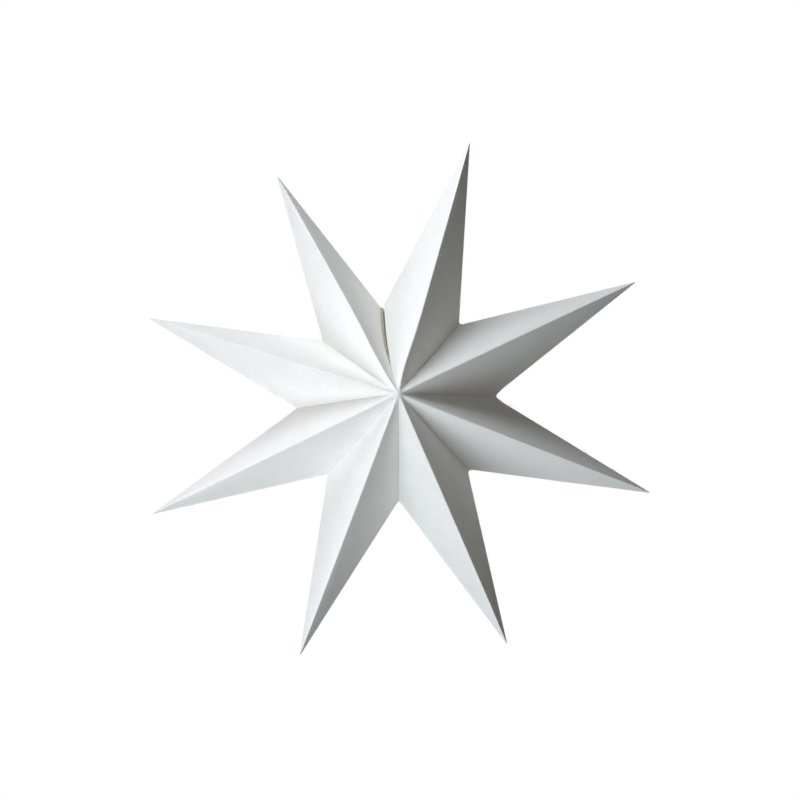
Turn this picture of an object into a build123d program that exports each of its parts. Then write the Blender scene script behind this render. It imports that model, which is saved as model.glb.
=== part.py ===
from build123d import *
import math
import os

os.makedirs("parts", exist_ok=True)

# A paper star that folds out of a flat pack. It stands in the XZ plane, with its front apex towards -Y,
# its closing seam at the top and the origin on the line between its two apexes.
# Lengths are millimetres. Bearings are degrees, clockwise from the seam as seen from the front.
PAPER = 0.4  # heavy cotton paper, about 300 g/m2
TIP_REACH = 200.0  # from the axis to the sharp end of an even point
NOTCH_REACH = 73.6  # from the axis to an even notch between two points
APEX_HEIGHT = 78.0  # from the middle plane to the front apex, and to the back one
TIP_BLUNT = 1.5  # what the layers at a tip fall short of a sharp end
FLAP_WIDTH = 9.0  # glue flap along each valley
LAP_WIDTH = 8.0  # glue lap inside each back ridge
SEAM_GAP = 2.4  # how far the closing seam stands open at an even notch
TAPE_WIDTH = 5.0
TAPE_LENGTH = 68.0
TAPE_SETBACK = 4.0  # from the notch to the end of the tape, along the valley
TAPE_INSET = 2.0  # from the valley edge down to the tape

# The star is opened by hand, so its points and valleys stand a little unevenly. Each row runs clockwise
# from the seam. The first and the last valley are the two sides of the seam.
SEAM_TURN = math.degrees(SEAM_GAP / 2 / NOTCH_REACH)
TIP_BEARINGS = (22.6, 69.7, 115.6, 161.2, 206.6, 251.3, 295.1, 339.1)
TIP_EXTRAS = (6.2, 5.4, 4.9, -0.2, 1.9, -1.1, -6.0, -7.5)
NOTCH_BEARINGS = (SEAM_TURN, 46.4, 92.7, 138.5, 183.3, 228.7, 272.6, 317.2, 360 - SEAM_TURN)
NOTCH_EXTRAS = (0.2, 2.8, 1.3, 1.0, -0.1, -0.9, -1.6, -3.6, -2.6)

FRONT_APEX = Vector(0, -APEX_HEIGHT, 0)
BACK_APEX = Vector(0, APEX_HEIGHT, 0)


def place(bearing, reach):
    """A place in the star's middle plane."""
    turn = math.radians(bearing)
    return Vector(reach * math.sin(turn), 0, reach * math.cos(turn))


def facing_out(corner, second, third, inside):
    """The plane through three corners, facing away from a place inside the point."""
    normal = (second - corner).cross(third - corner)
    if normal.dot(inside - corner) > 0:
        normal = -normal
    return Plane(origin=corner, z_dir=normal)


def flap_window(notch):
    """What the two glue flaps of a valley leave open between them, through one thickness of paper."""
    slope = math.hypot(notch.length, APEX_HEIGHT)
    window_reach = notch.length - FLAP_WIDTH * slope / APEX_HEIGHT
    window_height = APEX_HEIGHT - FLAP_WIDTH * slope / notch.length
    valley = Plane(origin=(0, 0, 0), x_dir=notch, z_dir=notch.cross(Vector(0, 1, 0)))
    outline = Polyline((0, window_height), (window_reach, 0), (0, -window_height), close=True)
    return extrude(valley * make_face(outline), amount=2 * PAPER, both=True)


def folded_point(tip, left_notch, right_notch):
    """One folded sheet: four panels round a hollow, a flap along each valley and a lap in the back ridge."""
    solid = ConvexPolyhedron([FRONT_APEX, BACK_APEX, left_notch, right_notch, tip])
    inside = solid.center()
    out_to_tip = tip.normalized()
    solid = split(solid, bisect_by=Plane(origin=tip - out_to_tip * TIP_BLUNT, z_dir=out_to_tip), keep=Keep.BOTTOM)

    lap_panel = facing_out(BACK_APEX, right_notch, tip, inside)
    sides = [
        facing_out(FRONT_APEX, left_notch, tip, inside),
        facing_out(FRONT_APEX, right_notch, tip, inside),
        facing_out(BACK_APEX, left_notch, tip, inside),
        lap_panel,
        facing_out(FRONT_APEX, BACK_APEX, left_notch, inside),
        facing_out(FRONT_APEX, BACK_APEX, right_notch, inside),
    ]
    hollow = solid
    for side in sides:
        hollow = split(hollow, bisect_by=side.offset(-PAPER), keep=Keep.BOTTOM)

    ridge = (tip - BACK_APEX).normalized()
    across = lap_panel.z_dir.cross(ridge)
    if across.dot(right_notch - BACK_APEX) < 0:
        across = -across
    lap = split(hollow, bisect_by=lap_panel.offset(-2 * PAPER), keep=Keep.TOP)
    lap = split(lap, bisect_by=Plane(origin=BACK_APEX + across * LAP_WIDTH, z_dir=across), keep=Keep.BOTTOM)
    return solid - (hollow - lap) - flap_window(left_notch) - flap_window(right_notch)


def closing_tape(apex):
    """A strip of soft tape that fills the seam where it lies, cut off where it would cross the other strip."""
    notch = place(0, NOTCH_REACH)
    along = (apex - notch).normalized()
    seam = Plane(origin=notch, x_dir=along, z_dir=(1, 0, 0))
    inward = TAPE_INSET if seam.to_local_coords(Vector(0, 0, 0)).Y > 0 else -TAPE_INSET - TAPE_WIDTH
    strip = Pos(TAPE_SETBACK, inward) * Rectangle(TAPE_LENGTH, TAPE_WIDTH, align=(Align.MIN, Align.MIN))
    tape = extrude(seam * strip, amount=SEAM_GAP, both=True)
    for bearing in (NOTCH_BEARINGS[0], NOTCH_BEARINGS[-1]):
        side = facing_out(FRONT_APEX, BACK_APEX, place(bearing, NOTCH_REACH), notch)
        tape = split(tape, bisect_by=side, keep=Keep.BOTTOM)
    return split(tape, bisect_by=Plane(origin=notch, z_dir=apex), keep=Keep.TOP)


tips = [place(b, TIP_REACH + extra) for b, extra in zip(TIP_BEARINGS, TIP_EXTRAS)]
notches = [place(b, NOTCH_REACH + extra) for b, extra in zip(NOTCH_BEARINGS, NOTCH_EXTRAS)]
for index, tip in enumerate(tips):
    point = folded_point(tip, notches[index], notches[index + 1])
    export_step(point, f"parts/point_{index + 1}.step")
export_step(closing_tape(FRONT_APEX), "parts/closing_tape_front.step")
export_step(closing_tape(BACK_APEX), "parts/closing_tape_back.step")
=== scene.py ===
import math

import bmesh
import bpy
import numpy as np
from mathutils import Matrix, Vector, noise


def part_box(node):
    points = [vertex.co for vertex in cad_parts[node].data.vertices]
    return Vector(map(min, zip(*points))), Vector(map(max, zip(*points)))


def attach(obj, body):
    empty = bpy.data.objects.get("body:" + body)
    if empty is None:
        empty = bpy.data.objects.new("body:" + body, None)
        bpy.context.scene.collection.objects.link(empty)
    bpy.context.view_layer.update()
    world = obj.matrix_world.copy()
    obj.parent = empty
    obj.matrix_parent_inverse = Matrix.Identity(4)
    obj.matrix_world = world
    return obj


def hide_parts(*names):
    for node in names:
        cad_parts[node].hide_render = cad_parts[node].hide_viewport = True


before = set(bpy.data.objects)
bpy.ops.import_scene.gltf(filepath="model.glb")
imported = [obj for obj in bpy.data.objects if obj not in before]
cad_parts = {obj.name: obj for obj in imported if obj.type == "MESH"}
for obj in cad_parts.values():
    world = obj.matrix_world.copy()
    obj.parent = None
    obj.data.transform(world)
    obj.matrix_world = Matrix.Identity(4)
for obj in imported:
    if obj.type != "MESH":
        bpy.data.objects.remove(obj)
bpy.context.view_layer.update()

# The points. Eight sheets of heavy white cotton paper, each scored and folded into four panels round a
# hollow. Flaps turned in along the valleys are glued to the neighbours' flaps, and the back ridge closes
# over a glued lap. The star was opened out of its flat pack by hand, so no fold is sharp and no panel flat.
MM = 0.001
POINTS = [f"point_{number}" for number in range(1, 9)]
PAPER = 0.4 * MM
TIP_REACH = 200.0 * MM
NOTCH_REACH = 73.6 * MM
TIP_BLUNT = 1.5 * MM
FLAP_WIDTH = 9.0 * MM
PANEL_WIDTH = 107.0 * MM
RIDGE_LENGTH = 215.0 * MM
# How far a panel bows out, and the share of the way to the valley from which it flattens again. How far it
# ripples and over what length, from a noise that mostly lies in this range.
PANEL_BOW = 1.4 * MM
BOW_FULL = 0.7
PANEL_RIPPLE = 0.35 * MM
RIPPLE_LENGTH = 45.0 * MM
NOISE_RANGE = (0.3, 0.7)
# How much higher the ridges stand where a point is pinched, a third of the way from its tip, and how full
# its side folds are. Of the lap beside a back ridge a narrow strip shows.
RIDGE_RISE = 3.0 * MM
PINCH_PEAK = 4 / 27
EDGE_RISE = 0.42 * MM
LAP_SHOWS = 1.2 * MM
# How far paper webs across the foot of each notch, clockwise from the seam. Along the edges it reaches this
# many times as far, and a trace further, so that no span is zero.
NOTCH_WEBS = [web * MM for web in (0.0, 1.0, 2.4, 1.5, 0.5, 0.5, 0.5, 0.5, 0.0)]
WEB_SPAN = 2.4
WEB_LEAST = 0.01 * MM
# Columns of the net: distances from a ridge and from a side edge, and shares of a panel between them. Over
# the last share of the way to the tip they draw together.
RIDGE_COLUMNS = [step * MM for step in (0.7, 1.4, 2.1, 2.8, 3.5, 4.2, 4.8)]
EDGE_COLUMNS = [step * MM for step in (0.45, 0.9, 1.35, 1.8, 2.3, 3.0, 4.4)]
PANEL_COLUMNS = (0.12, 0.2, 0.3, 0.4, 0.5)
FOLD_FADE = 0.38
# Rows of the net: 0 tip, 1 valley edge, 2 flap edge, 3 its inner side, 4 valley edge inside, 5 tip inside.
# A flap is narrower than a panel, so a step is a larger share of it. A pole closes each end of the net.
TIP_ROWS = [0.0095, 0.013, 0.02, 0.035]
PANEL_ROWS = list(np.linspace(0.07, 0.93, 18))
VALLEY_ROWS = (0.0025, 0.005, 0.0075, 0.01, 0.0135, 0.02, 0.03)
FLAP_STEP = 8
INSIDE_ROWS = [1.5, 1.8, 2.0, 3.0, 3.5, 4.0, 4.1, 4.3, 4.5, 4.7, 4.9, 4.98]
INNER_FROM = 2.5
POLE_ROWS = (0.0075, 4.99)
# How far from a fold it is round, in lengths or in rows, and how much and how often it is smoothed. At the
# tip and at the apex it is not. At the apex the folds run out into a blunt cone, which falls away by the
# mean of what a ridge and a valley fall.
RIDGE_ROUND = 5.0 * MM
EDGE_ROUND = 3.0 * MM
ROUND_TO_ROW = 1.6
VALLEY_ROUND = 0.008
FLAP_ROUND = 8.5 * VALLEY_ROUND
VALLEY_SOFT = 0.03
FOLD_PASSES = 20
TIP_KEPT = 0.07
APEX_KEPT = 6.0 * MM
APEX_ROUND = 1.6 * MM
APEX_SOFT = 8.0 * MM
APEX_FALL = (1 / TIP_REACH + 1 / NOTCH_REACH) / 2
# The strip of each fold that is rubbed lighter and painted with a highlight, and loose fibres along it,
# drawn thicker than they are so that they show: how many to a square metre, and their tilt and sweep in
# radians. The seed of the fibres and of the ripple goes up by a step from point to point.
FOLD_RUBBED_AND_LIT = 1.6 * MM
RUBBED_FROM = 0.3
FIBRES_PER_AREA = 4000.0
FIBRE_LIFT = (0.1, 0.5)
FIBRE_BEND = 3.0 * MM
FIBRE_SWEEP = 1.5
FIBRE_THICKNESS = 0.12 * MM
FIBRE_STEPS, FIBRE_SIDES = 8, 4
SEED_STEP = 3.7


def sheet_net():
    """The flat sheet as a tube: columns go round the point, rows from its tip over the flaps and inside."""
    rows = TIP_ROWS + PANEL_ROWS + [1 - share for share in reversed(VALLEY_ROWS)]
    rows += [1.0] + [1 + FLAP_STEP * share for share in VALLEY_ROWS] + INSIDE_ROWS
    spots = []
    for row in rows:
        width = PANEL_WIDTH * max(min(row, 5 - row, 1.0), FOLD_FADE)
        panel = [step / width for step in RIDGE_COLUMNS] + list(PANEL_COLUMNS)
        panel += [1 - share for share in PANEL_COLUMNS[-2::-1]]
        panel += [1 - step / width for step in EDGE_COLUMNS[::-1]]
        for side in range(4):
            shares = panel if side % 2 == 0 else [1 - share for share in reversed(panel)]
            spots += [(side + share, row, width) for share in [0.0] + shares]
    count = 4 * (len(panel) + 1)
    faces = []
    for row in range(len(rows) - 1):
        for column in range(count):
            first, second = row * count + column, row * count + (column + 1) % count
            faces.append((first, second, second + count, first + count))
    for pole, ring in zip(POLE_ROWS, (0, len(rows) - 1)):
        spots.append((0.0, pole, PANEL_WIDTH))
        for column in range(count):
            pair = (ring * count + column, ring * count + (column + 1) % count)
            faces.append((len(spots) - 1,) + (pair[::-1] if ring == 0 else pair))
    net = bpy.data.meshes.new("sheet_net")
    net.from_pydata([(0, 0, 0)] * len(spots), [], faces)

    around, along, width = np.array(spots).T
    share = around % 1.0
    to_fold = np.minimum(share, 1 - share) * width
    to_valley = abs(along - 1.0)
    panels = along < 1.0
    inner = along > INNER_FROM
    away = np.clip(np.where(inner, 5 - along, along), 0, 1)
    past_tip = np.clip((away - TIP_KEPT) / TIP_KEPT, 0, 1)
    narrowed = np.clip(away / FOLD_FADE, 0, 1)

    flattened = np.clip((away - BOW_FULL) / (1 - BOW_FULL), 0, 1) ** 2
    bulge = 4 * share * (1 - share) * away * (1 - flattened)
    side_edge = np.round(around) % 2 == 1
    from_ridge = np.where(around % 2 < 1, share, 1 - share)
    pinch = away * (1 - away) ** 2 / PINCH_PEAK
    crest = np.where((along < 1) | (along > 4), (1 - from_ridge) * pinch, 0)
    rise = np.exp(-((to_fold / EDGE_ROUND) ** 2)) * side_edge * panels * narrowed * past_tip
    lap_side = (around > 0) & (around < 0.5) & panels
    lap = (lap_side & (to_fold < LAP_SHOWS) & (to_valley > VALLEY_ROUND)) * narrowed

    ridge_round = (to_fold < np.where(side_edge, EDGE_ROUND, RIDGE_ROUND)) & (along < ROUND_TO_ROW)
    valley_round = (to_valley < VALLEY_ROUND) | (along > 1.0) & (to_valley < FLAP_ROUND)
    from_apex = np.hypot(np.where(side_edge, PANEL_WIDTH, to_fold), to_valley * RIDGE_LENGTH)
    soften = np.where(valley_round, VALLEY_SOFT, ridge_round) * past_tip
    kept = {
        "around": around,
        "along": along,
        "bulge": np.where(inner, -bulge, bulge),
        "rise": rise,
        "crest": crest,
        "lap": lap,
        "soften": soften * np.clip(from_apex / APEX_KEPT, 0, 1),
        "fold": np.clip(1 - to_fold / FOLD_RUBBED_AND_LIT, 0, 1) * panels,
    }
    for name, values in kept.items():
        net.attributes.new(name, "FLOAT", "POINT").data.foreach_set("value", values.astype(np.float32))
    return net


def add(tree, kind, links=(), **settings):
    """Adds a node with its settings. An input takes a value, an output, or a node for its first output."""
    node = tree.nodes.new(kind)
    for name, value in settings.items():
        setattr(node, name, value)
    for name, source in dict(links).items():
        named = [socket for socket in node.inputs if socket.enabled and socket.name == name]
        socket = named[0] if named else node.inputs[name]
        if isinstance(source, bpy.types.Node):
            source = next(output for output in source.outputs if output.enabled)
        if isinstance(source, bpy.types.NodeSocket):
            tree.links.new(source, socket)
        else:
            socket.default_value = source
    return node


RING = ("Back Apex", "Right Notch", "Front Apex", "Left Notch")
RINGS = ("", " Flap", " Flap Inside", " Inside")
FALLS = ("Left Fall", "Right Fall")
SIZES = ("Paper", "Ridge Rise", "Edge Rise", "Left Web", "Right Web", "Panel Bow", "Panel Ripple")
SIZES += ("Ripple Length", "Apex Round", "Apex Soft", "Apex Fall", "Seed")
FIBRE_SIZES = ("Fibres Per Area", "Fibre Bend", "Fibre Thickness")


def folding_tree():
    """Folds the flat net into a point: every place on the sheet is a mix of the point's corners."""
    tree = bpy.data.node_groups.new("folded_point", "GeometryNodeTree")
    corners = ["Tip", "Tip Inside"] + [corner + ring for ring in RINGS for corner in RING]
    asked = [("Net", "Geometry"), ("Material", "Material")]
    asked += [(name, "Vector") for name in corners + list(FALLS)]
    asked += [(name, "Float") for name in SIZES + FIBRE_SIZES]
    for name, kind in asked:
        tree.interface.new_socket(name, in_out="INPUT", socket_type="NodeSocket" + kind)
    tree.interface.new_socket("Point", in_out="OUTPUT", socket_type="NodeSocketGeometry")
    given = add(tree, "NodeGroupInput").outputs
    kept = {name: add(tree, "GeometryNodeInputNamedAttribute", {"Name": name}, data_type="FLOAT")
            for name in ("around", "along", "bulge", "rise", "crest", "lap", "soften", "fold")}

    def step_mix(value, stops):
        """Goes from stop to stop as the value goes through 0, 1, 2 and so on."""
        place = stops[0]
        for step, stop in enumerate(stops[1:]):
            share = add(tree, "ShaderNodeMath", {0: value, 1: step}, operation="SUBTRACT", use_clamp=True)
            place = add(tree, "ShaderNodeMix", {"Factor": share, "A": place, "B": stop}, data_type="VECTOR")
        return place

    rings = []
    for ring in RINGS:
        rings.append(step_mix(kept["around"], [given[corner + ring] for corner in RING + RING[:1]]))
    folded = step_mix(kept["along"], [given["Tip"]] + rings + [given["Tip Inside"]])
    sheet = add(tree, "GeometryNodeSetPosition", {"Geometry": given["Net"], "Position": folded})

    # Towards the tip, where its layers are stiff, a point is pinched, and its ridges stand a bit higher.
    place = add(tree, "GeometryNodeInputPosition")
    front = add(tree, "ShaderNodeSeparateXYZ", {"Vector": place}).outputs["Y"]
    front = add(tree, "ShaderNodeMath", {0: front}, operation="SIGN")
    lift = add(tree, "ShaderNodeMath", {0: kept["crest"], 1: given["Ridge Rise"]}, operation="MULTIPLY")
    lift = add(tree, "ShaderNodeMath", {0: lift, 1: front}, operation="MULTIPLY")
    out = add(tree, "ShaderNodeCombineXYZ", {"Y": lift})
    sheet = add(tree, "GeometryNodeSetPosition", {"Geometry": sheet, "Offset": out})

    # Each panel bows out and ripples, most in its middle and not at its folds. The side folds are full.
    scale = add(tree, "ShaderNodeMath", {0: 1.0, 1: given["Ripple Length"]}, operation="DIVIDE")
    cloud = add(tree, "ShaderNodeTexNoise", {"W": given["Seed"], "Scale": scale, "Detail": 1.0},
                noise_dimensions="4D")
    wave = add(tree, "ShaderNodeMapRange",
               {"Value": cloud, "From Min": NOISE_RANGE[0], "From Max": NOISE_RANGE[1], "To Min": -1.0},
               clamp=False)
    lift = add(tree, "ShaderNodeMath", {0: wave, 1: given["Panel Ripple"], 2: given["Panel Bow"]},
               operation="MULTIPLY_ADD")
    lift = add(tree, "ShaderNodeMath", {0: lift, 1: kept["bulge"]}, operation="MULTIPLY")
    lift = add(tree, "ShaderNodeMath", {0: kept["rise"], 1: given["Edge Rise"], 2: lift},
               operation="MULTIPLY_ADD")
    normal = add(tree, "GeometryNodeInputNormal")
    out = add(tree, "ShaderNodeVectorMath", {0: normal, "Scale": lift}, operation="SCALE")
    sheet = add(tree, "GeometryNodeSetPosition", {"Geometry": sheet, "Offset": out})

    # The scored folds are round.
    soft = add(tree, "GeometryNodeBlurAttribute",
               {"Value": place, "Iterations": FOLD_PASSES, "Weight": kept["soften"]},
               data_type="FLOAT_VECTOR")
    sheet = add(tree, "GeometryNodeSetPosition", {"Geometry": sheet, "Position": soft})

    # Beside the back ridge the glued lap shows, one thickness lower than the panel that covers it.
    drop = add(tree, "ShaderNodeMath", {0: kept["lap"], 1: given["Paper"]}, operation="MULTIPLY")
    drop = add(tree, "ShaderNodeMath", {0: drop, 1: -1.0}, operation="MULTIPLY")
    out = add(tree, "ShaderNodeVectorMath", {0: normal, "Scale": drop}, operation="SCALE")
    sheet = add(tree, "GeometryNodeSetPosition", {"Geometry": sheet, "Offset": out})

    # Where all the folds meet, the paper cannot crease. They run out there into a small cone, pressed blunt.
    height = add(tree, "ShaderNodeSeparateXYZ", {"Vector": given["Front Apex"]}).outputs["Y"]
    height = add(tree, "ShaderNodeMath", {0: height}, operation="ABSOLUTE")
    depth = add(tree, "ShaderNodeSeparateXYZ", {"Vector": place}).outputs["Y"]
    depth = add(tree, "ShaderNodeMath", {0: depth}, operation="ABSOLUTE")
    flat = add(tree, "ShaderNodeVectorMath", {0: place, 1: (1.0, 0.0, 1.0)}, operation="MULTIPLY")
    reach = add(tree, "ShaderNodeVectorMath", {0: flat}, operation="LENGTH").outputs["Value"]
    falls = [add(tree, "ShaderNodeVectorMath", {0: flat, 1: given[name]}, operation="DOT_PRODUCT")
             for name in FALLS]
    fall = add(tree, "ShaderNodeMath", {0: falls[0].outputs["Value"], 1: falls[1].outputs["Value"]},
               operation="MAXIMUM")
    cone = add(tree, "ShaderNodeMath", {0: reach, 1: given["Apex Fall"]}, operation="MULTIPLY")
    even = add(tree, "ShaderNodeMath", {0: fall, 1: cone}, operation="SUBTRACT")
    even = add(tree, "ShaderNodeMath", {0: even, 1: height}, operation="MULTIPLY")
    near = add(tree, "ShaderNodeMath", {0: reach, 1: given["Apex Soft"]}, operation="DIVIDE")
    near = add(tree, "ShaderNodeMath", {0: near, 1: near}, operation="MULTIPLY")
    near = add(tree, "ShaderNodeMath", {0: near, 1: -1.0}, operation="MULTIPLY")
    near = add(tree, "ShaderNodeMath", {0: near}, operation="EXPONENT")
    even = add(tree, "ShaderNodeMath", {0: even, 1: near}, operation="MULTIPLY")
    below = add(tree, "ShaderNodeMath", {0: height, 1: depth}, operation="SUBTRACT")
    below = add(tree, "ShaderNodeMath", {0: below, 1: even}, operation="SUBTRACT")
    blunt = add(tree, "ShaderNodeCombineXYZ", {"X": below, "Y": given["Apex Round"]})
    blunt = add(tree, "ShaderNodeVectorMath", {0: blunt}, operation="LENGTH").outputs["Value"]
    press = add(tree, "ShaderNodeMath", {0: below, 1: blunt}, operation="SUBTRACT")
    press = add(tree, "ShaderNodeMath", {0: press, 1: even}, operation="ADD")
    press = add(tree, "ShaderNodeMath", {0: press, 1: front}, operation="MULTIPLY")
    press = add(tree, "ShaderNodeCombineXYZ", {"Y": press})
    sheet = add(tree, "GeometryNodeSetPosition", {"Geometry": sheet, "Offset": press})

    # A web of paper rounds the foot of each notch into a smooth curve.
    for side in ("Left", "Right"):
        notch, web = given[side + " Notch"], given[side + " Web"]
        gap = add(tree, "ShaderNodeVectorMath", {0: place, 1: notch}, operation="DISTANCE")
        span = add(tree, "ShaderNodeMath", {0: web, 1: WEB_SPAN, 2: WEB_LEAST}, operation="MULTIPLY_ADD")
        near = add(tree, "ShaderNodeMapRange",
                   {"Value": gap, "From Max": span, "To Min": 1.0, "To Max": 0.0})
        push = add(tree, "ShaderNodeMath", {0: near, 1: 2.0}, operation="POWER")
        push = add(tree, "ShaderNodeMath", {0: push, 1: web}, operation="MULTIPLY")
        away = add(tree, "ShaderNodeVectorMath", {0: notch}, operation="NORMALIZE")
        out = add(tree, "ShaderNodeVectorMath", {0: away, "Scale": push}, operation="SCALE")
        sheet = add(tree, "GeometryNodeSetPosition", {"Geometry": sheet, "Offset": out})
    sheet = add(tree, "GeometryNodeSetShadeSmooth", {"Geometry": sheet})

    # A few loose fibres stand up along the rubbed folds, each a short bent thread.
    rubbed_and_lit_fold = add(tree, "FunctionNodeCompare", {"A": kept["fold"], "B": RUBBED_FROM},
                 operation="GREATER_THAN")
    spots = add(tree, "GeometryNodeDistributePointsOnFaces", {
        "Mesh": sheet,
        "Selection": rubbed_and_lit_fold,
        "Density": given["Fibres Per Area"],
        "Seed": given["Seed"],
    })
    bend = add(tree, "GeometryNodeCurveArc",
               {"Resolution": FIBRE_STEPS, "Radius": given["Fibre Bend"], "Sweep Angle": FIBRE_SWEEP})
    thread = add(tree, "GeometryNodeCurvePrimitiveCircle",
                 {"Resolution": FIBRE_SIDES, "Radius": given["Fibre Thickness"]})
    fibre = add(tree, "GeometryNodeCurveToMesh", {"Curve": bend, "Profile Curve": thread, "Fill Caps": True})
    back = add(tree, "ShaderNodeMath", {0: given["Fibre Bend"], 1: -1.0}, operation="MULTIPLY")
    back = add(tree, "ShaderNodeCombineXYZ", {"X": back})
    fibre = add(tree, "GeometryNodeTransform", {"Geometry": fibre, "Translation": back})
    least, most = (FIBRE_LIFT[0], 0.0, 0.0), (FIBRE_LIFT[1], 0.0, math.tau)
    turn = add(tree, "FunctionNodeRandomValue", {"Min": least, "Max": most}, data_type="FLOAT_VECTOR")
    turn = add(tree, "FunctionNodeRotateRotation",
               {"Rotation": spots.outputs["Rotation"], "Rotate By": turn}, rotation_space="LOCAL")
    fibres = add(tree, "GeometryNodeInstanceOnPoints",
                 {"Points": spots, "Instance": fibre, "Rotation": turn})
    joined = add(tree, "GeometryNodeJoinGeometry", {"Geometry": fibres})
    tree.links.new(sheet.outputs["Geometry"], joined.inputs["Geometry"])

    whole = add(tree, "GeometryNodeRealizeInstances", {"Geometry": joined})
    whole = add(tree, "GeometryNodeSetMaterial", {"Geometry": whole, "Material": given["Material"]})
    add(tree, "NodeGroupOutput", {"Point": whole})
    return tree


def srgb(code):
    """An sRGB hex colour as linear values."""
    parts = [int(code[i:i + 2], 16) / 255 for i in (1, 3, 5)]
    return [p / 12.92 if p <= 0.04045 else ((p + 0.055) / 1.055) ** 2.4 for p in parts] + [1.0]


PULP_SIZE = 22.0 * MM
FELT_SIZE = 2.4 * MM
FELT_HEIGHT = 0.12 * MM
PAPER_COLOURS = ("#F3F2ED", "#F9F8F4")
# The colour of the folds: partly rubbed paper, partly a painted highlight.
RUBBED_AND_HIGHLIGHT_COLOUR = "#FCFBF8"


def cotton_paper():
    """Uncoated cotton paper, mould made and pressed between felts.

    It is matte and white. Its pulp lies a little cloudy, its surface is a felt of fibres, drawn coarser here
    than it is so that it shows. The scored folds are lighter than the panels: partly rubbed, partly a
    painted highlight where the round folds catch the light.
    """
    material = bpy.data.materials.new("cotton_paper")
    material.use_nodes = True
    tree = material.node_tree
    tree.nodes.clear()
    where = add(tree, "ShaderNodeTexCoord").outputs["Object"]
    fold = add(tree, "ShaderNodeAttribute", attribute_name="fold").outputs["Fac"]
    pulp = add(tree, "ShaderNodeTexNoise",
               {"Vector": where, "Scale": 1 / PULP_SIZE, "Detail": 3.0, "Roughness": 0.6})
    felt = add(tree, "ShaderNodeTexNoise",
               {"Vector": where, "Scale": 1 / FELT_SIZE, "Detail": 1.0, "Roughness": 0.5, "Distortion": 0.3})
    mottle = add(tree, "ShaderNodeMix", {"Factor": 0.45, "A": pulp, "B": felt})
    tint = add(tree, "ShaderNodeMapRange", {"Value": mottle, "From Min": 0.35, "From Max": 0.65})
    dark, pale = (srgb(code) for code in PAPER_COLOURS)
    sheet = add(tree, "ShaderNodeMix", {"Factor": tint, "A": dark, "B": pale}, data_type="RGBA")
    # Along the folds the paper is painted lighter: partly rubbed, partly a painted highlight.
    rubbed_and_lit_fold = add(tree, "ShaderNodeMath", {0: fold, 1: felt}, operation="MULTIPLY")
    colour = add(tree, "ShaderNodeMix", {"Factor": rubbed_and_lit_fold, "A": sheet, "B": srgb(RUBBED_AND_HIGHLIGHT_COLOUR)},
                 data_type="RGBA")
    rough = add(tree, "ShaderNodeMapRange", {"Value": felt, "To Min": 0.84, "To Max": 0.98})
    bump = add(tree, "ShaderNodeBump", {"Height": felt, "Strength": 0.3, "Distance": FELT_HEIGHT})
    shader = add(tree, "ShaderNodeBsdfPrincipled",
                 {"Base Color": colour, "Roughness": rough, "Normal": bump, "Specular IOR Level": 0.05})
    add(tree, "ShaderNodeOutputMaterial", {"Surface": shader})
    return material


def panel_normal(first, second, third, inside):
    """Unit normal of a face of a point, facing out."""
    normal = np.cross(second - first, third - first)
    normal /= np.linalg.norm(normal)
    return normal if normal @ (inside - first) < 0 else -normal


APEXES = ("Front Apex", "Back Apex")
NOTCHES = ("Left Notch", "Right Notch")
# What counts as level with the middle plane, as part of the blunt tip and, in radians, as the same bearing.
LEVEL_WITHIN = 0.01 * MM
TIP_WITHIN = 0.2 * MM
TURN_WITHIN = 1e-4


def point_corners(node):
    """The sharp corners of a point and of its hollow, read from its solid in the frame."""
    spots = np.array([vertex.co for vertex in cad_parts[node].data.vertices])
    front, back = spots[spots[:, 1].argmin()], spots[spots[:, 1].argmax()]
    level = spots[abs(spots[:, 1]) < LEVEL_WITHIN]
    reach = np.hypot(level[:, 0], level[:, 2])
    blunt = level[reach > reach.max() - TIP_WITHIN].mean(axis=0)
    tip = blunt * (1 + TIP_BLUNT / np.linalg.norm(blunt))
    aside = tip[2] * level[:, 0] - tip[0] * level[:, 2]
    ahead = tip[0] * level[:, 0] + tip[2] * level[:, 2]
    turn = np.arctan2(aside, ahead)
    left = max(level[turn < turn.min() + TURN_WITHIN], key=np.linalg.norm)
    right = max(level[turn > turn.max() - TURN_WITHIN], key=np.linalg.norm)
    corners = {"Tip": tip, "Front Apex": front, "Back Apex": back, "Left Notch": left, "Right Notch": right}

    middle = (tip + front + back + left + right) / 5
    panels = [(apex, notch, "Tip") for apex in APEXES for notch in NOTCHES]
    flaps = [APEXES + (notch,) for notch in NOTCHES]
    normals = {face: panel_normal(*(corners[name] for name in face), middle) for face in panels + flaps}

    def moved_in(place, faces):
        """The place moved in by one paper thickness from each of the faces."""
        rows = np.array([normals[face] for face in faces])
        return place + np.linalg.lstsq(rows, np.full(len(rows), -PAPER), rcond=None)[0]

    found = dict(corners)
    for fall, notch in zip(FALLS, (left, right)):
        across, up = np.linalg.solve([[tip[0], tip[2]], [notch[0], notch[2]]], [1.0, 1.0])
        found[fall] = np.array([across, 0.0, up])
    for name, corner in corners.items():
        found[name + " Inside"] = moved_in(corner, [face for face in panels + flaps if name in face])
        if name == "Tip":
            continue
        height = abs(front[1])
        valley = np.linalg.norm(left if name == "Left Notch" else right)
        slope = math.hypot(height, valley)
        shorter = FLAP_WIDTH * slope / (height if "Notch" in name else valley)
        flap = corner * (1 - shorter / np.linalg.norm(corner))
        found[name + " Flap"] = flap
        found[name + " Flap Inside"] = moved_in(flap, [face for face in flaps if name in face])
    return found


# The seam bows to one side, by more at the last sheet where it stands open, and it is pressed shut near the
# apex: all the way up to the first share of its length, open from the second on.
SEAM_LENGTH = NOTCH_REACH
SEAM_GAP = 2.4 * MM
SEAM_BOW = 2.4 * MM
SEAM_OPEN = 0.7 * MM
SEAM_SPREAD = 14.0 * MM
SEAM_SHUT = (0.34, 0.46)


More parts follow.
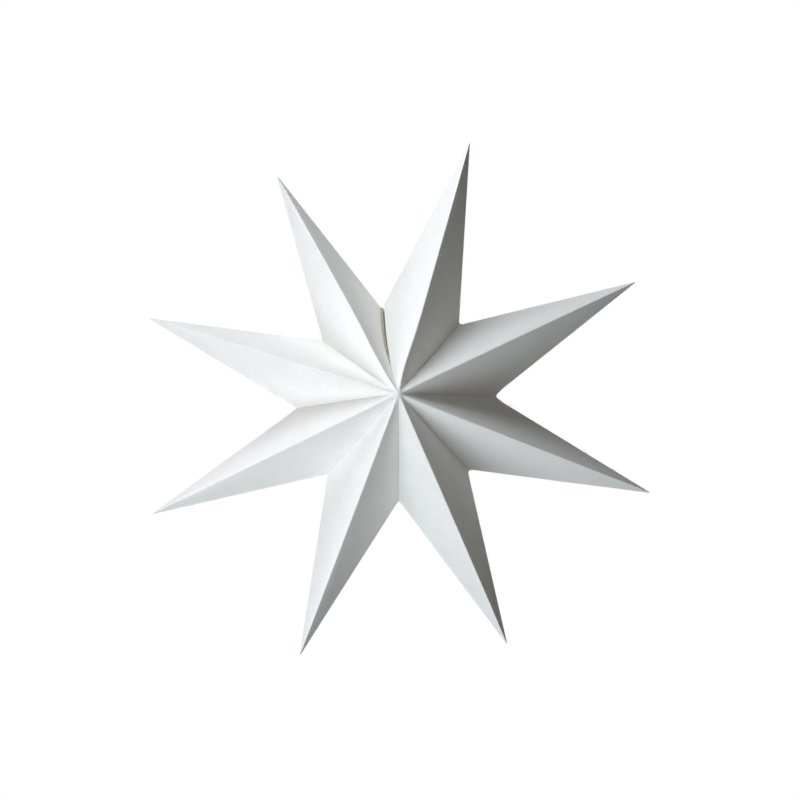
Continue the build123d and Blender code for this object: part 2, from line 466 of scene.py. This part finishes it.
def bow_seam(mesh):
    """Bows the two edges of the closing seam to one side and shuts them near the apex."""
    for vertex in mesh.vertices:
        up = min(max(vertex.co.z / SEAM_LENGTH, 0.0), 1.0)
        near = math.exp(-((vertex.co.x / SEAM_SPREAD) ** 2))
        side = math.copysign(1.0, vertex.co.x)
        shut = 1 - min(max((up - SEAM_SHUT[0]) / (SEAM_SHUT[1] - SEAM_SHUT[0]), 0.0), 1.0)
        bow = SEAM_BOW if side > 0 else SEAM_BOW + SEAM_OPEN * (1 - shut)
        vertex.co.x -= near * (bow * 4 * up * (1 - up) + side * shut * up * SEAM_GAP / 2)


paper = cotton_paper()
net = sheet_net()
folding = folding_tree()
sockets = {item.name: item.identifier for item in folding.interface.items_tree if item.in_out == "INPUT"}
for index, node in enumerate(POINTS):
    piece = bpy.data.objects.new("folded_" + node, net.copy())
    bpy.context.scene.collection.objects.link(piece)
    fold = piece.modifiers.new("fold", "NODES")
    fold.node_group = folding
    sizes = point_corners(node)
    sizes.update({
        "Paper": PAPER,
        "Ridge Rise": RIDGE_RISE,
        "Edge Rise": EDGE_RISE,
        "Left Web": NOTCH_WEBS[index],
        "Right Web": NOTCH_WEBS[index + 1],
        "Panel Bow": PANEL_BOW,
        "Panel Ripple": PANEL_RIPPLE,
        "Ripple Length": RIPPLE_LENGTH,
        "Apex Round": APEX_ROUND,
        "Apex Soft": APEX_SOFT,
        "Apex Fall": APEX_FALL,
        "Seed": SEED_STEP * index,
        "Fibres Per Area": FIBRES_PER_AREA,
        "Fibre Bend": FIBRE_BEND,
        "Fibre Thickness": FIBRE_THICKNESS,
    })
    for name, value in sizes.items():
        fold[sockets[name]] = tuple(map(float, value)) if np.ndim(value) else float(value)
    fold[sockets["Material"]] = paper
    bpy.context.view_layer.update()
    shape = bpy.data.meshes.new_from_object(piece.evaluated_get(bpy.context.evaluated_depsgraph_get()))
    piece.modifiers.remove(fold)
    piece.data = shape
    bow_seam(shape)
    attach(piece, "root")
    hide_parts(node)

# The closing tapes. Two strips of thick double-sided tape, of tan gum that stays soft, one behind each half
# of the seam. They were pressed between the first and the last flap when the star was opened, and hold it
# closed. The gum has swollen out of the seam, most beside the last flap.
TAPES = ("closing_tape_front", "closing_tape_back")
TAPE_WIDTH = 5.0 * MM
TAPE_INSET = 2.0 * MM
TAPE_ROUND = 0.2 * MM
TAPE_CUTS = 2.0 * MM
SEAM_HEIGHT = 78.0 * MM
VALLEY_DEPTH = SEAM_LENGTH * SEAM_HEIGHT / math.hypot(SEAM_LENGTH, SEAM_HEIGHT)
# How far the gum is squeezed into waves and over what length, how far it swells out, how much further
# beside the last flap, and how far its upper end reaches up. It has drawn back from the first flap: by this
# share of the seam, down to this depth.
TAPE_SQUEEZE = 0.5 * MM
SQUEEZE_LENGTH = 6.0 * MM
GUM_SWELL = 0.8 * MM
GUM_LEAN = 1.1 * MM
GUM_REACH = 1.2 * MM
DRAWN_BACK = 0.7
DRAWN_DEPTH = 3.0 * MM
DUST_SIZE = 3.0 * MM
GRAIN_SIZE = 0.5 * MM
GRAIN_HEIGHT = 0.1 * MM
GUM_COLOURS = ("#A8A28E", "#C2BBA8")


def gum_tape():
    """Tan rubber gum: dull and a little tacky, darker where dust has settled in it."""
    material = bpy.data.materials.new("gum_tape")
    material.use_nodes = True
    tree = material.node_tree
    tree.nodes.clear()
    where = add(tree, "ShaderNodeTexCoord").outputs["Object"]
    dust = add(tree, "ShaderNodeTexNoise",
               {"Vector": where, "Scale": 1 / DUST_SIZE, "Detail": 4.0, "Roughness": 0.6})
    grain = add(tree, "ShaderNodeTexNoise", {"Vector": where, "Scale": 1 / GRAIN_SIZE, "Detail": 2.0})
    shade = add(tree, "ShaderNodeMapRange", {"Value": dust, "From Min": 0.35, "From Max": 0.65})
    dark, pale = (srgb(code) for code in GUM_COLOURS)
    colour = add(tree, "ShaderNodeMix", {"Factor": shade, "A": dark, "B": pale}, data_type="RGBA")
    rough = add(tree, "ShaderNodeMapRange", {"Value": dust, "To Min": 0.7, "To Max": 0.45})
    bump = add(tree, "ShaderNodeBump", {"Height": grain, "Strength": 0.4, "Distance": GRAIN_HEIGHT})
    shader = add(tree, "ShaderNodeBsdfPrincipled",
                 {"Base Color": colour, "Roughness": rough, "Normal": bump})
    add(tree, "ShaderNodeOutputMaterial", {"Surface": shader})
    return material


gum = gum_tape()
for node in TAPES:
    strip = bmesh.new()
    strip.from_mesh(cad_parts[node].data)
    bmesh.ops.remove_doubles(strip, verts=strip.verts, dist=0.001 * MM)
    bmesh.ops.dissolve_limit(strip, angle_limit=math.radians(1), verts=strip.verts, edges=strip.edges)
    bmesh.ops.bevel(strip, geom=strip.edges, offset=TAPE_ROUND, segments=2, profile=0.5, affect="EDGES")
    lowest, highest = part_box(node)
    for cut in np.arange(lowest[2] + TAPE_CUTS, highest[2], TAPE_CUTS):
        bmesh.ops.bisect_plane(strip, geom=strip.verts[:] + strip.edges[:] + strip.faces[:],
                               plane_co=(0, 0, cut), plane_no=(0, 0, 1))
    bmesh.ops.triangulate(strip, faces=[face for face in strip.faces if len(face.verts) > 4])
    for vertex in strip.verts:
        depth = VALLEY_DEPTH * (1 - vertex.co.z / SEAM_LENGTH - abs(vertex.co.y) / SEAM_HEIGHT)
        lean = (1 - vertex.co.x / (SEAM_GAP / 2 * vertex.co.z / SEAM_LENGTH)) / 2
        ending = min(max((vertex.co.z - highest[2]) / TAPE_WIDTH + 1, 0), 1)
        if vertex.co.x > 0:
            vertex.co.x *= 1 - DRAWN_BACK * min(max(1 - (depth - TAPE_INSET) / DRAWN_DEPTH, 0), 1)
        swell = (GUM_SWELL + GUM_LEAN * lean) * (1 - min(max((depth - TAPE_INSET) / TAPE_WIDTH, 0), 1))
        off_middle = min(abs(vertex.co.y) / TAPE_WIDTH, 1)
        vertex.co.y += swell * math.copysign(VALLEY_DEPTH / SEAM_HEIGHT, vertex.co.y) * off_middle
        vertex.co.z += swell * VALLEY_DEPTH / SEAM_LENGTH + GUM_REACH * ending
        vertex.co.y += TAPE_SQUEEZE * noise.noise(vertex.co / SQUEEZE_LENGTH)
    shape = bpy.data.meshes.new(node)
    strip.to_mesh(shape)
    strip.free()
    shape.shade_smooth()
    shape.materials.append(gum)
    bow_seam(shape)
    piece = bpy.data.objects.new("gum_" + node, shape)
    bpy.context.scene.collection.objects.link(piece)
    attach(piece, "root")
    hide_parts(node)

# The floor. Plain pale ground, matte painted, far enough below the hanging star to take only a soft shadow.
# The camera sees it paler than the lamps light it, so that it stays as pale as the backdrop. That glow
# lights nothing, so it is not sampled as a lamp.
FLOOR_HALF = 4.0
FLOOR_DROP = 0.9
FLOOR_COLOUR = "#E6E6E4"
FLOOR_PALENESS = 0.86
FLOOR_SIDES = ((-1, -1), (1, -1), (1, 1), (-1, 1))
floor_mesh = bpy.data.meshes.new("floor")
floor_corners = [(x * FLOOR_HALF, y * FLOOR_HALF, -FLOOR_DROP) for x, y in FLOOR_SIDES]
floor_mesh.from_pydata(floor_corners, [], [(0, 1, 2, 3)])
floor = bpy.data.objects.new("floor", floor_mesh)
bpy.context.scene.collection.objects.link(floor)
floor_paint = bpy.data.materials.new("pale_floor")
floor_paint.use_nodes = True
floor_paint.cycles.emission_sampling = "NONE"
paint = floor_paint.node_tree
paint.nodes.clear()
seen = add(paint, "ShaderNodeLightPath").outputs["Is Camera Ray"]
glow = add(paint, "ShaderNodeMath", {0: seen, 1: FLOOR_PALENESS}, operation="MULTIPLY")
matte = add(paint, "ShaderNodeBsdfPrincipled", {
    "Base Color": srgb(FLOOR_COLOUR),
    "Roughness": 0.9,
    "Emission Color": (1, 1, 1, 1),
    "Emission Strength": glow,
})
add(paint, "ShaderNodeOutputMaterial", {"Surface": matte})
floor_mesh.materials.append(floor_paint)

# The light. Two wide soft lamps stand close on the left of the star, one high and one low. Two weaker ones
# fill from the side and the front, and a fifth lights its back. Each row is a name, degrees to the left,
# degrees up, distance and width in metres, spread in degrees, watts and colour.
LAMPS = (
    ("high_lamp", 45, 65, 0.8, 0.70, 180, 5.40, "#F3F9FF"),
    ("low_lamp", 45, -30, 0.8, 0.70, 180, 4.52, "#EDF6FF"),
    ("side_lamp", 60, 0, 0.5, 0.35, 180, 0.43, "#FFF5FB"),
    ("front_lamp", -15, 0, 0.8, 0.55, 180, 0.68, "#FFFCF4"),
    ("back_lamp", 180, 0, 1.2, 0.4, 25, 0.45, "#FFFFFF"),
)
for name, left, up, distance, width, spread, watts, colour in LAMPS:
    bulb = bpy.data.lights.new(name, "AREA")
    bulb.shape = "DISK"
    bulb.size = width
    bulb.spread = math.radians(spread)
    bulb.energy = watts
    bulb.color = srgb(colour)[:3]
    lamp = bpy.data.objects.new(name, bulb)
    left, up = math.radians(left), math.radians(up)
    away = Vector((-math.sin(left) * math.cos(up), -math.cos(left) * math.cos(up), math.sin(up)))
    lamp.location = away * distance
    lamp.rotation_euler = (-lamp.location).to_track_quat("-Z", "Y").to_euler()
    lamp.visible_camera = False
    bpy.context.scene.collection.objects.link(lamp)
ROOM_GLOW = 0.01
world = bpy.data.worlds.new("pale_room")
bpy.context.scene.world = world
world.use_nodes = True
room = world.node_tree
room.nodes.clear()
rays = add(room, "ShaderNodeLightPath").outputs
seen = add(room, "ShaderNodeMath", {0: rays["Is Camera Ray"], 1: rays["Is Glossy Ray"]}, operation="MAXIMUM")
seen = add(room, "ShaderNodeMath", {0: seen, 1: rays["Is Transmission Ray"]}, operation="MAXIMUM")
glow = add(room, "ShaderNodeMapRange", {"Value": seen, "To Min": ROOM_GLOW, "To Max": 1.0})
backdrop = add(room, "ShaderNodeBackground", {"Color": (1, 1, 1, 1), "Strength": glow})
add(room, "ShaderNodeOutputWorld", {"Surface": backdrop})

# The camera. It stands a little to the left of the star and below it, far off, and is turned as the
# photograph is. Lens and sensor are in millimetres, the angles in degrees.
CAMERA_LENS = 120.3
CAMERA_SENSOR = 36.0
CAMERA_TURN, CAMERA_RISE, CAMERA_ROLL = -3.228, -4.260, -6.350
CAMERA_DISTANCE = 2.0
AIM = Vector((4.94, 0, 1.17)) * MM
camera_data = bpy.data.cameras.new("camera")
camera_data.lens = CAMERA_LENS
camera_data.sensor_width = CAMERA_SENSOR
camera = bpy.data.objects.new("camera", camera_data)
turn, rise, roll = (math.radians(angle) for angle in (CAMERA_TURN, CAMERA_RISE, CAMERA_ROLL))
stand = Vector((math.sin(turn) * math.cos(rise), -math.cos(turn) * math.cos(rise), math.sin(rise)))
camera.location = stand * CAMERA_DISTANCE
look = (AIM - camera.location).to_track_quat("-Z", "Y").to_matrix()
camera.rotation_euler = (look @ Matrix.Rotation(roll, 3, "Z")).to_euler()
bpy.context.scene.collection.objects.link(camera)
bpy.context.scene.camera = camera
bpy.context.scene.view_settings.view_transform = "Standard"
